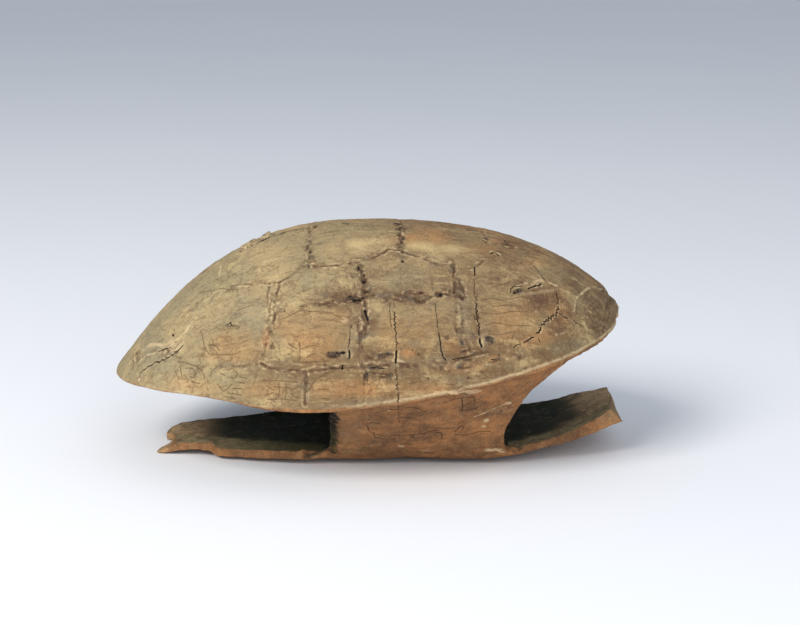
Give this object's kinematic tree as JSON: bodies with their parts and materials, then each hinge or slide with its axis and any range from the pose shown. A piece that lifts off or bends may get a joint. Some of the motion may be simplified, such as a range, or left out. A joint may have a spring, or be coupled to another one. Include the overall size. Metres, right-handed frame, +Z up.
{
  "type": "turtle shell oracle bone",
  "caption": "Whole empty turtle shell, domed carapace bridged to its flat plastron, scratched with rows of shallow strokes; lies on its plastron.",
  "frame": {"origin": "middle of the shell's bounding box seen from above, on the plane that the plastron rests on", "axes": "+X from the tail to the head, +Y to the shell's left side, +Z up"},
  "size_m": [0.19, 0.136, 0.0855],
  "materials": {
    "old_bone": "dry, matt, weathered bone with earth stains"
  },
  "bodies": {
    "root": {"turtle_shell": "old_bone"}
  },
  "joints": []
}
